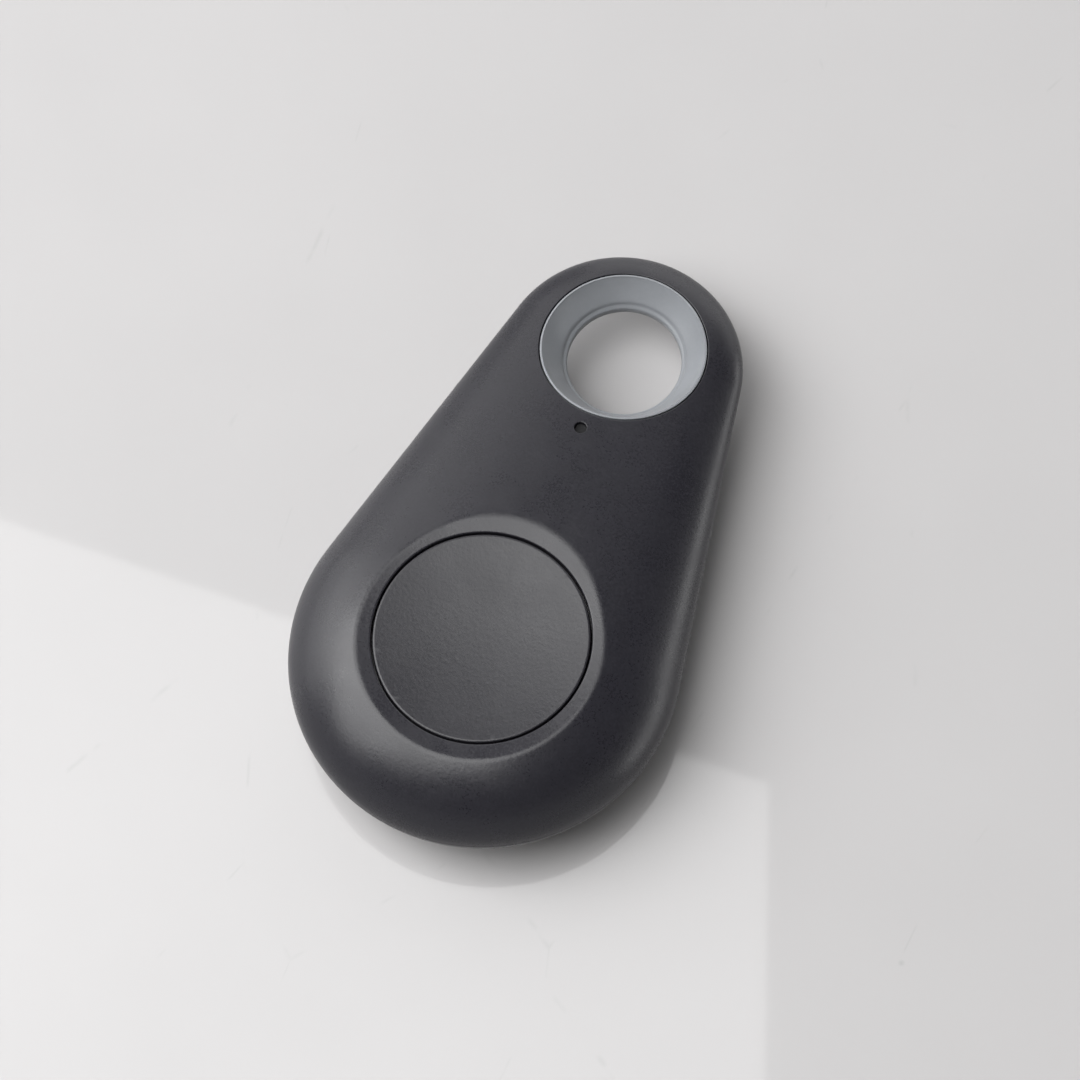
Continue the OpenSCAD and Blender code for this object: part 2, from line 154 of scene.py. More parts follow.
# Meshes
steep = math.radians(58)  # rings of equal slope up to here, triangles inside
first_slope = math.radians(13)
wide_steps = 104  # points of a ring round the wide end
flank_steps = 34  # along each flank
end_steps = 64  # and round the eye's end
button_steps = 180
eye_steps = 144
collar_steps = 160
light_steps = 40
grid = 0.72  # spacing of the triangles
rim_gap = 0.62 * grid  # free points keep this far from the outlines
sliver = 5e-5  # triangles smaller than this, between points of a straight side, are left out
halvings = 44  # a slope or a crease is found by halving its range this often
sharp_angle = math.radians(32)


# ---------------- the crowned skin
def profile(cushion, slope):
    """Radius and height above the parting line where a cushion faces that far above the horizon."""
    radius, reach, rise, power = cushion
    turn = np.arctan((np.tan(slope) * rise / reach) ** (power / (2 * (power - 1))))
    across = np.clip(np.cos(turn), 0, 1) ** (2 / power)
    return radius - reach * (1 - across), rise * np.sin(turn) ** (2 / power)


def lean_of(half, slope):
    """Radii and heights at both ends for one slope, and the sine of the heading of the straight flanks."""
    wide_radius, wide_height = profile(half["wide"], slope)
    end_radius, end_height = profile(half["end"], slope)
    lean = (wide_radius - end_radius + np.tan(slope) * (wide_height - end_height)) / span
    return wide_radius, wide_height, end_radius, end_height, np.clip(lean, 0, 1)


def slope_ring(half, slope, inset=0.0):
    """Closed loop of points of equal slope, anticlockwise from above, with their outward normals."""
    wide_radius, wide_height, end_radius, end_height, lean = lean_of(half, slope)
    tilt = math.asin(lean)
    rows = [(0, math.pi - tilt + (math.pi + 2 * tilt) * n / wide_steps) for n in range(wide_steps)]
    rows += [(n / flank_steps, tilt) for n in range(flank_steps)]
    rows += [(1, tilt + (math.pi - 2 * tilt) * n / end_steps) for n in range(end_steps)]
    rows += [(1 - n / flank_steps, math.pi - tilt) for n in range(flank_steps)]
    share, angle = np.array(rows).T
    radius = wide_radius + (end_radius - wide_radius) * share - inset
    height = wide_height + (end_height - wide_height) * share
    head = np.stack([np.cos(angle), np.sin(angle)], 1)
    points = np.column_stack([radius * head[:, 0],
                              button_y + span * share + radius * head[:, 1],
                              seam_z + half["up"] * height])
    normals = np.column_stack([math.cos(slope) * head, np.full(len(head), half["up"] * math.sin(slope))])
    return points, normals


def skin(half, xy):
    """Height and outward normal of the crowned skin over points of the plan."""
    x, y = np.abs(xy[:, 0]), xy[:, 1] - button_y
    from_wide, from_end = np.hypot(x, y), np.hypot(x, y - span)
    low_slope, high_slope = np.zeros(len(xy)), np.full(len(xy), math.pi / 2)
    for _ in range(halvings):
        slope = (low_slope + high_slope) / 2
        ra, za, rb, zb, lean = lean_of(half, slope)
        side = np.sqrt(1 - lean ** 2)
        ax, ay, bx, by = ra * side, ra * lean, rb * side, span + rb * lean
        length = np.hypot(bx - ax, by - ay)
        at_wide = y <= lean * from_wide
        at_end = ~at_wide & (y - span >= lean * from_end)
        beside = ((by - ay) * (x - ax) - (bx - ax) * (y - ay)) / length
        outside = np.where(at_wide, from_wide - ra, np.where(at_end, from_end - rb, beside))
        high_slope = np.where(outside > 0, slope, high_slope)
        low_slope = np.where(outside > 0, low_slope, slope)
    along = ((x - ax) * (bx - ax) + (y - ay) * (by - ay)) / length ** 2
    height = np.where(at_wide, za, np.where(at_end, zb, za + along * (zb - za)))
    near = np.where(at_wide, from_wide, from_end)
    head_x = np.where(at_wide | at_end, x / np.maximum(near, 1e-9), side)
    head_y = np.where(at_wide, y, y - span) / np.maximum(near, 1e-9)
    head_y = np.where(at_wide | at_end, head_y, lean)
    head_x = head_x * np.where(xy[:, 0] < 0, -1, 1)
    normals = np.column_stack([np.cos(slope) * head_x, np.cos(slope) * head_y,
                               half["up"] * np.sin(slope)])
    return seam_z + half["up"] * height, normals


def ball(xy):
    """Height and upward normal of the thumb dish's ball."""
    dx, dy = xy[:, 0], xy[:, 1] - ball_y
    drop = np.sqrt(ball_r ** 2 - dx ** 2 - dy ** 2)
    return ball_z - drop, np.column_stack([-dx, -dy, drop]) / ball_r


def front_face(xy):
    """Height and normal of the front: the crowned skin with the dish let in, softened at the crease."""
    dome_z, dome_n = skin(FRONT, xy)
    dish_z, dish_n = ball(xy)
    share = np.clip(0.5 + (dish_z - dome_z) / (2 * crease_blend), 0, 1)
    z = dish_z * (1 - share) + dome_z * share - crease_blend * share * (1 - share)
    dome_grad, dish_grad = dome_n / dome_n[:, 2:], dish_n / dish_n[:, 2:]
    normal = dome_grad * share[:, None] + dish_grad * (1 - share[:, None])
    return z, normal / np.linalg.norm(normal, axis=1)[:, None]


def rear_face(xy):
    """Height and normal of the rear, which is the crowned skin alone."""
    return skin(REAR, xy)


# ---------------- mesh making
def placed(name, data):
    """A new object in the scene."""
    obj = bpy.data.objects.new(name, data)
    bpy.context.scene.collection.objects.link(obj)
    return obj


class Shape:
    """Points, the normals that are known exactly, and faces, gathered before they become a mesh."""

    def __init__(self):
        self.points, self.normals, self.faces = [], [], []

    def add(self, points, normals=None):
        """Adds a row of points and returns their numbers."""
        start = len(self.points)
        self.points.extend(np.asarray(points, float).tolist())
        none = np.zeros((len(points), 3))
        self.normals.extend((none if normals is None else np.asarray(normals, float)).tolist())
        return list(range(start, len(self.points)))

    def band(self, lower, upper):
        """Quads between two closed loops of equal count; they face outwards where lower is the lower one."""
        count = len(lower)
        for i in range(count):
            j = (i + 1) % count
            self.faces.append((lower[i], lower[j], upper[j], upper[i]))

    def bands(self, loops, up=True):
        """Quads between each closed loop and the next, from the lowest up or from the highest down."""
        rising = loops if up else loops[::-1]
        for lower, upper in zip(rising, rising[1:]):
            self.band(lower, upper)

    def fan(self, loop, centre, up=True):
        """Triangles from a closed loop to one point."""
        count = len(loop)
        for i in range(count):
            j = (i + 1) % count
            self.faces.append((loop[i], loop[j], centre) if up else (loop[j], loop[i], centre))

    def patch(self, outer, holes, lift, up=True):
        """Even triangles inside the loop outer and outside the loops holes, lifted to a surface."""
        plan = np.array(self.points)[:, :2]
        loops = [outer] + holes
        rim = np.concatenate([plan[loop] for loop in loops])
        free = hexagonal_points(plan[outer])
        keep = inside(plan[outer], free) & (nearest(free, rim) > rim_gap)
        for hole in holes:
            keep &= ~inside(plan[hole], free)
        free = free[keep]
        z, normals = lift(free)
        inner = self.add(np.column_stack([free, z]), normals)
        numbers = [i for loop in loops for i in loop] + inner
        spots = [Vector(p) for p in np.concatenate([rim, free])]
        edges, start = [], 0
        for loop in loops:
            edges += [(start + i, start + (i + 1) % len(loop)) for i in range(len(loop))]
            start += len(loop)
        found = delaunay_2d_cdt(spots, edges, [], 0, 1e-7)
        source = [ids[0] for ids in found[3]]
        corners = np.array(found[2])
        spread = np.array([list(v) for v in found[0]])[corners]
        middle = spread.mean(1)
        first, second = spread[:, 1] - spread[:, 0], spread[:, 2] - spread[:, 0]
        area = abs(first[:, 0] * second[:, 1] - first[:, 1] * second[:, 0]) / 2
        keep = inside(plan[outer], middle) & (area > sliver)
        for hole in holes:
            keep &= ~inside(plan[hole], middle)
        for triangle in corners[keep]:
            a, b, c = (numbers[source[i]] for i in triangle)
            self.faces.append((a, b, c) if up else (c, b, a))

    def piece(self, name):
        """The finished object, in metres."""
        mesh = bpy.data.meshes.new(name)
        mesh.from_pydata((np.array(self.points) * MM).tolist(), [], self.faces)
        tool = bmesh.new()
        tool.from_mesh(mesh)
        bmesh.ops.remove_doubles(tool, verts=tool.verts, dist=1e-7)
        bmesh.ops.recalc_face_normals(tool, faces=tool.faces)
        tool.to_mesh(mesh)
        tool.free()
        return placed(name, mesh)

    def exact_normals(self):
        """Known normals by place, so that they can be given back after a cut."""
        return {place(p): n for p, n in zip(self.points, self.normals) if any(n)}


def place(point):
    """A point rounded to a hundredth of a millimetre, to look it up by."""
    return tuple(round(c, 2) for c in point)


def hexagonal_points(outline):
    """Evenly spaced points over the box round an outline, counted from the middle."""
    (left, front), (right, back) = outline.min(0), outline.max(0)
    rows = []
    for n, y in enumerate(np.arange(front, back, grid * math.sqrt(3) / 2)):
        shift = grid / 2 * (n % 2)
        xs = np.arange(0, right - left, grid) - (right - left) // (2 * grid) * grid + shift
        rows.append(np.column_stack([xs, np.full(len(xs), y)]))
    return np.concatenate(rows)


def inside(outline, points):
    """Which points lie inside a closed outline."""
    x, y = points[:, 0][:, None], points[:, 1][:, None]
    x1, y1 = outline[:, 0][None], outline[:, 1][None]
    x2, y2 = np.roll(outline, -1, 0)[:, 0][None], np.roll(outline, -1, 0)[:, 1][None]
    crosses = (y1 > y) != (y2 > y)
    where = x1 + (y - y1) * (x2 - x1) / np.where(y2 == y1, 1e-12, y2 - y1)
    return (crosses & (x < where)).sum(1) % 2 == 1


def nearest(points, others):
    """Distance from each point to the nearest of others."""
    gap = points[:, None, :] - others[None, :, :]
    return np.sqrt((gap ** 2).sum(2).min(1))


def circle(x, y, radius, count):
    """Points of the plan round a centre; radius is a number or one for each point."""
    a = 2 * math.pi * np.arange(count) / count
    return np.column_stack([x + radius * np.cos(a), y + radius * np.sin(a)])


def level(xy, z):
    """Points of the plan, all lifted to one height."""
    return np.column_stack([xy, np.full(len(xy), float(z))])


def lifted_loop(shape, xy, lift):
    """Adds points of the plan, lifted to a surface."""
    z, normals = lift(xy)
    return shape.add(np.column_stack([xy, z]), normals)


def rounded_rim(shape, x, y, radius, soft, lift, count, outward, down=1):
    """Loops that turn a surface round an edge of that radius into an upright wall, surface first.
    outward is 1 where the surface lies outside the edge, as round a hole, and -1 for a plug's edge."""
    flat = circle(x, y, radius + outward * soft, count)
    z, normals = lift(flat)
    heads = circle(0, 0, 1, count)
    fall = -(normals[:, 0] * heads[:, 0] + normals[:, 1] * heads[:, 1]) / normals[:, 2]
    corner_z = z - outward * soft * fall
    edge = circle(x, y, radius, count)
    start = np.column_stack([flat, z])
    corner = np.column_stack([edge, corner_z])
    end = np.column_stack([edge, corner_z - down * soft])
    loops = [shape.add(start, normals)]
    for t in (0.3, 0.6, 1.0):
        loops.append(shape.add(start * (1 - t) ** 2 + corner * 2 * t * (1 - t) + end * t ** 2))
    return loops


def turned(name, x, y, outline):
    """Closed turned piece from an outline of (radius, height) points that starts and ends on the axis."""
    shape = Shape()
    loops = [shape.add(level(circle(x, y, r, 48), z)) for r, z in outline[1:-1]]
    bottom = shape.add([[x, y, outline[0][1]]])[0]
    top = shape.add([[x, y, outline[-1][1]]])[0]
    shape.bands(loops)
    shape.fan(loops[0], bottom, False)
    shape.fan(loops[-1], top)
    return shape.piece(name)


def disc(x, y, z, radius, height, soft=0.0):
    """Upright cylinder, its edges cut back by soft."""
    foot = [(radius - soft, z), (radius, z + soft)] if soft else [(radius, z)]
    head = [(r, 2 * z + height - h) for r, h in foot[::-1]]
    return turned("disc", x, y, [(0, z), *foot, *head, (0, z + height)])


def tube(x, y, z, outer, inner, height):
    """Upright ring between two radii."""
    shape = Shape()
    loops = [shape.add(level(circle(x, y, r, 96), h))
             for r, h in ((outer, z), (outer, z + height), (inner, z + height), (inner, z))]
    shape.bands(loops + loops[:1])
    return shape.piece("tube")


def prism(near, far):
    """Closed solid between two flat loops of points."""
    shape = Shape()
    near, far = shape.add(near), shape.add(far)
    shape.band(near, far)
    shape.faces += [tuple(near[::-1]), tuple(far)]
    return shape.piece("prism")


def block(x, y, z, size):
    """Box that stands on the middle of its base."""
    half_x, half_y = size[0] / 2, size[1] / 2
    plan = np.array([[x - half_x, y - half_y], [x + half_x, y - half_y],
                     [x + half_x, y + half_y], [x - half_x, y + half_y]])
    return prism(level(plan, z), level(plan, z + size[2]))


def pear_loop(inset):
    """Plan of the body's outline, drawn in by inset."""
    points, _ = slope_ring(FRONT, 0.0, inset)
    return points[:, :2]


def pear_wall(outer, inner, z, height, soft=0.0):
    """Upright wall that follows the outline between two insets, its top edges cut back by soft."""
    shape = Shape()
    rows = [(outer, z), (outer, z + height - soft), (outer + soft, z + height),
            (inner - soft, z + height), (inner, z + height - soft), (inner, z)]
    loops = [shape.add(level(pear_loop(inset), h)) for inset, h in rows]
    shape.bands(loops + loops[:1])
    return shape.piece("wall")


def cut(obj, tool, how="DIFFERENCE"):
    """Joins, cuts or intersects obj with a closed solid, which is used up."""
    step = obj.modifiers.new("cut", "BOOLEAN")
    step.operation = how
    step.object = tool
    step.solver = "MANIFOLD"
    mesh = bpy.data.meshes.new_from_object(obj.evaluated_get(bpy.context.evaluated_depsgraph_get()))
    obj.modifiers.clear()
    old, obj.data = obj.data, mesh
    bpy.data.meshes.remove(old)
    bpy.data.meshes.remove(tool.data)
    return obj


def finish_shading(obj, exact):
    """Smooth shading, sharp corners kept, and the exact normals given back where they fit the face."""
    fitting = math.cos(math.radians(40))
    mesh = obj.data
    for polygon in mesh.polygons:
        polygon.use_smooth = True
    mesh.set_sharp_from_angle(angle=sharp_angle)
    if exact:
        found = [exact.get(place(v.co / MM)) for v in mesh.vertices]
        given = []
        for polygon in mesh.polygons:
            facing = np.array(polygon.normal)
            for v in polygon.vertices:
                n = found[v]
                fits = n is not None and np.dot(n, facing) > fitting
                given.append(n if fits else (0, 0, 0))
        mesh.normals_split_custom_set(given)
    return obj


# ---------------- casing
def inset_half(half, share):
    """A smaller crowned half, from the outer skin at 0 to the hollow at 1."""
    power = half["wide"][3] if half["up"] > 0 else 2 + 0.4 * share
    made = {"up": half["up"]}
    for end in ("wide", "end"):
        radius, reach, rise, _ = half[end]
        made[end] = (radius - side_wall * share, reach - share, rise - wall * share, power)
    return made


def crowned_side(shape, half):
    """Rings of equal slope from near the parting line to the steep limit, lower loop first."""
    slopes = np.linspace(first_slope, steep, 10)
    return [shape.add(*slope_ring(half, slope)) for slope in slopes]


def crowned_solid(share):
    """Whole body shrunk by that share of the wall, to trim what stands inside the casing."""
    shape = Shape()
    waist = shape.add(slope_ring(inset_half(FRONT, share), 0.0)[0])
    for half in (FRONT, REAR):
        small = inset_half(half, share)
        loops = [waist] + crowned_side(shape, small)
        shape.bands(loops, half["up"] > 0)
        shape.patch(loops[-1], [], lambda xy, h=small: skin(h, xy), half["up"] > 0)
    return shape.piece("trim")


def hollow_solid(half):
    """Hollow of one half of the casing, open past the parting line."""
    shape = Shape()
    small = inset_half(half, 1)
    up = half["up"] > 0
    waist = slope_ring(small, 0.0)[0]
    past = waist.copy()
    past[:, 2] -= half["up"] * 3
    loops = [shape.add(past), shape.add(waist)] + crowned_side(shape, small)
    shape.bands(loops, up)
    shape.faces.append(tuple(loops[0][::-1] if up else loops[0]))
    shape.patch(loops[-1], [], lambda xy: skin(small, xy), up)
    return shape.piece("hollow")


def seam_edge(shape, half):
    """Softened edge at the parting line, from the parting face out to the side."""
    loops = []
    for inset, rise in ((seam_soft, 0), (0.3 * seam_soft, 0.3 * seam_soft), (0, seam_soft)):
        plan = pear_loop(inset)
        loops.append(shape.add(level(plan, seam_z + half["up"] * rise)))
    return loops


def crease_radius():
    """Radius of the dish's crease in each direction from the button's middle."""
    near, far = np.full(button_steps, dish_r - 1.0), np.full(button_steps, dish_r + 1.0)
    for _ in range(halvings):
        middle = (near + far) / 2
        xy = circle(0, button_y, middle, button_steps)
        over = skin(FRONT, xy)[0] > ball(xy)[0]
        near, far = np.where(over, middle, near), np.where(over, far, middle)
    return middle


def dish_loops(shape):
    """Loops of the dish from the button's hole out past the crease, close together at the crease."""
    crease = crease_radius()
    start = cap_hole_r + hole_soft
    stops = [start + (crease - 0.34 - start) * t for t in (0.3, 0.65, 1.0)]
    stops += [crease + d for d in (-0.22, -0.13, -0.06, 0, 0.06, 0.13, 0.22, 0.36, 0.6)]
    return [lifted_loop(shape, circle(0, button_y, r, button_steps), front_face) for r in stops]


def hole_through(shape, half, x, y, radius, soft, margins, count):
    """Round hole from one face to the parting line, with its edge rounded: its first and its last loop."""
    face = front_face if half["up"] > 0 else rear_face
    margin = [lifted_loop(shape, circle(x, y, radius + d, count), face) for d in margins]
    rim = rounded_rim(shape, x, y, radius, soft, face, count, 1, half["up"])
    loops = [*margin, *rim, shape.add(level(circle(x, y, radius, count), seam_z))]
    shape.bands(loops, half["up"] > 0)
    return loops[0], loops[-1]


def flat_seam(xy):
    """Height of the parting line, with no normals to keep."""
    return np.full(len(xy), seam_z), None


def front_solid():
    """Front half as a solid with its holes, before it is hollowed."""
    shape = Shape()
    edge = seam_edge(shape, FRONT)
    side = edge + crowned_side(shape, FRONT)
    shape.bands(side)
    button = hole_through(shape, FRONT, 0, button_y, cap_hole_r, hole_soft, (), button_steps)
    dish = [button[0]] + dish_loops(shape)
    shape.bands(dish, False)
    eye = hole_through(shape, FRONT, 0, eye_y, collar_hole_r, eye_soft, eye_margins, eye_steps)
    light = hole_through(shape, FRONT, light_x, light_y, light_hole_r, 0.06, (0.3, 0.14), light_steps)
    shape.patch(side[-1], [dish[-1], eye[0], light[0]], front_face)
    shape.patch(edge[0], [button[-1], eye[-1], light[-1]], flat_seam, False)
    return shape


def at_points(spots, make):
    """A piece at each place and at its mirror image."""
    return [make(x, y) for right, y in spots for x in (right, -right)]


def front_shell():
    """Dark front half of the casing, with the button's guide, the posts and the collar's boss inside."""
    shape = front_solid()
    shell = shape.piece("front_shell_smooth")
    cut(shell, hollow_solid(FRONT))
    shelf_top = shelf_z + 0.3
    boss_z = collar_flange_z + collar_flange_h + 0.05
    parts = [tube(0, button_y, guide_low, guide_r + guide_w, guide_r, shelf_top - guide_low),
             tube(0, button_y, shelf_z, guide_r + guide_w, cap_hole_r, shelf_h),
             tube(0, eye_y, boss_z, collar_hole_r + boss_w, collar_hole_r, 4),
             tube(0, buzzer_y, buzzer_seat_z, *buzzer_seat_r, 2)]
    parts += at_points(board_posts, lambda x, y: disc(x, y, board_top, post_r, 3.6, 0.06))
    parts += at_points(board_posts, lambda x, y: disc(x, y, board_z - 0.4, pin_r, 2, 0.1))
    for part in parts:
        cut(shell, cut(part, crowned_solid(0.5), "INTERSECT"), "UNION")
    # Room for the button's flange and for the rear cover's tongue
    below = seam_z - 1.1
    cut(shell, disc(0, button_y, below, guide_r, shelf_z - below))
    cut(shell, pear_wall(side_wall, inner_edge, below, seam_z + lip_h + 0.1 - below))
    return finish_shading(shell, shape.exact_normals())


def rear_solid():
    """Rear half as a solid with the eye through it, before it is hollowed."""
    shape = Shape()
    edge = seam_edge(shape, REAR)
    side = edge + crowned_side(shape, REAR)
    shape.bands(side, False)
    eye = hole_through(shape, REAR, 0, eye_y, collar_hole_r, eye_soft, eye_margins, eye_steps)
    shape.patch(side[-1], [eye[0]], rear_face, False)
    shape.patch(edge[0], [eye[-1]], flat_seam)
    return shape


def snap_bead(along, side):
    """Short bar sunk in the tongue's flank; a little of it stands proud and holds the front shell."""
    tilt = math.asin((wide_r - end_r) / span)
    out = np.array([side * math.cos(tilt), math.sin(tilt), 0])
    run = np.array([-side * math.sin(tilt), math.cos(tilt), 0]) * bead_length / 2
    radius = wide_r + (end_r - wide_r) * along - lip_out + bead_proud - bead_r
    middle = np.array([0, button_y + span * along, seam_z + lip_h / 2]) + radius * out
    section = circle(0, 0, bead_r, 16)
    ring = middle + section[:, :1] * out + section[:, 1:] * np.array([0, 0, 1])
    return prism(ring - run, ring + run)


def rear_cover():
    """Rear half of the casing with its tongue, posts, ribs and the collar's boss."""
    shape = rear_solid()
    cover = shape.piece("rear_cover_smooth")
    cut(cover, hollow_solid(REAR))
    post_h = board_z - 0.1 - cover_inside_z
    parts = [tube(0, eye_y, 1, collar_hole_r + boss_w, collar_hole_r, collar_flange_z - 1.05),
             pear_wall(side_wall - 0.2, lip_in, seam_z - lip_root, lip_root)]
    parts += at_points(cover_posts, lambda x, y: disc(x, y, cover_inside_z, cover_post_r, post_h, 0.08))
    parts += at_points([(rib_x, button_y)], lambda x, y: block(x, y, cover_inside_z, rib_size))
    for part in parts:
        cut(cover, cut(part, crowned_solid(0.5), "INTERSECT"), "UNION")
    cut(cover, pear_wall(lip_out, lip_in, seam_z - 0.3, lip_h + 0.3, 0.12), "UNION")
    for along in (0.12, 0.5, 0.88):
        for side in (1, -1):
            cut(cover, snap_bead(along, side), "UNION")
    # The eye, and a notch at the tip for a coin or a nail
    cut(cover, disc(0, eye_y, -1, collar_hole_r, 12))
    cut(cover, disc(0, high[1] + 1.4, seam_z - 0.5, 2.4, 1))
    return finish_shading(cover, shape.exact_normals())


def button_cap():
    """Concave push button with a rounded edge, a flange and a nub that presses the switch."""
    shape = Shape()
    top = lifted_loop(shape, np.array([[0, button_y]]), ball)
    ring_gap = 0.6
    radii = np.arange(ring_gap, cap_r - ring_gap / 2, ring_gap)
    rings = [lifted_loop(shape, circle(0, button_y, r, button_steps), ball) for r in radii]
    rim = rounded_rim(shape, 0, button_y, cap_r, cap_soft, ball, button_steps, -1)
    shape.fan(rings[0], top[0])
    fillet = 0.08
    hollow_r = cap_r - cap_wall
    side = [(cap_r, flange_top + fillet), (cap_r + fillet, flange_top),
            (cap_flange_r - cap_chamfer, flange_top), (cap_flange_r, flange_top - cap_chamfer),
            (cap_flange_r, flange_low + cap_chamfer), (cap_flange_r - cap_chamfer, flange_low),
            (hollow_r, flange_low), (hollow_r, flange_low + cap_hollow), (nub_r, flange_low + cap_hollow),
            (nub_r, nub_low + 0.05), (nub_r - 0.05, nub_low)]
    under = [shape.add(level(circle(0, button_y, r, button_steps), z)) for r, z in side]
    shape.bands([*under[::-1], *rim[::-1], *rings[::-1]])
    nub = shape.add([[0, button_y, nub_low]])
    shape.fan(under[-1], nub[0], False)
    cap = shape.piece("button_cap_smooth")
    rib_length = 2 * cap_r - 1.5
    for size in ((rib_length, 0.7, 0.4), (0.7, rib_length, 0.4)):
        cut(cap, block(0, button_y, flange_low, size), "UNION")
    return finish_shading(cap, shape.exact_normals())


def key_ring_collar():
    """Pale collar of the eye: a thin lip, a flare down to the throat, and the same behind."""
    shape = Shape()
    soft, count = collar_soft, collar_steps
    loops = []
    for face, up, mouth_z in ((front_face, 1, throat_z[1]), (rear_face, -1, throat_z[0])):
        rim = rounded_rim(shape, 0, eye_y, collar_r, soft, face, count, -1, up)
        edge = rounded_rim(shape, 0, eye_y, collar_r - collar_lip - soft, soft, face, count, 1, up)
        top = np.array([shape.points[i] for i in edge[-1]])
        mouth = level(circle(0, eye_y, throat_r + 0.4, count), mouth_z)
        flare = [shape.add(flare_points(top, mouth, t)) for t in np.linspace(0, 1, 13)[1:]]
        step = [shape.add(level(circle(0, eye_y, throat_r + out, count), mouth_z - up * fall))
                for out, fall in throat_step]
        row = [*rim[::-1], *edge, *flare, *step]
        loops += row if up > 0 else row[::-1]
    shape.bands(loops + loops[:1])
    collar = shape.piece("key_ring_collar_smooth")
    flange = disc(0, eye_y, collar_flange_z, collar_flange_r, collar_flange_h, 0.1)
    below = collar_flange_z - 1
    cut(flange, disc(0, eye_y, below, collar_r - 0.2, 4))
    plan = pear_loop(inner_edge)
    cut(flange, prism(level(plan, below), level(plan, below + 4)), "INTERSECT")
    cut(collar, flange, "UNION")
    return finish_shading(collar, shape.exact_normals())


def flare_points(top, mouth, t):
    """Points a share t of the way down the flare, which bellies out a little."""
    belly = 0.12 * math.sin(math.pi * t)
    points = top * (1 - t) + mouth * t
    away = points[:, :2] - np.array([0, eye_y])
    points[:, :2] += belly * away / np.linalg.norm(away, axis=1)[:, None]
    return points


def snap_dome(base, top, radius):
    """Shallow round cap of spring steel, flat on top and steep at the rim, that the plunger presses flat."""
    sheet = 0.1
    steps = [(t, 1 - t ** 8) for t in np.linspace(0, 1, 12)]
    under = [((radius - sheet) * t, base + (top - base - sheet) * rise) for t, rise in steps]
    over = [(radius * t, base + (top - base) * rise) for t, rise in steps[::-1]]
    return finish_shading(turned("switch_dome_smooth", 0, button_y, under + over), {})


dome_low, dome_high = (np.array(corner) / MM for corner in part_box("switch_dome"))
made = {"front_shell": front_shell(),
        "rear_cover": rear_cover(),
        "button_cap": button_cap(),
        "key_ring_collar": key_ring_collar(),
        "switch_dome": snap_dome(dome_low[2], dome_high[2], dome_high[0])}

# ---------------- bodies, CAD nodes and slots
behaviour = frame["record"]["behaviour"]
bodies = {node: body for body, nodes in behaviour["bodies"].items() for node in nodes}
slots = {part["node"]: part["material_slot"] for part in frame["record"]["subparts"]}
for node, piece in made.items():
    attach(piece, bodies[node])
    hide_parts(node)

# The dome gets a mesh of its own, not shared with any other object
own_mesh(made["switch_dome"])


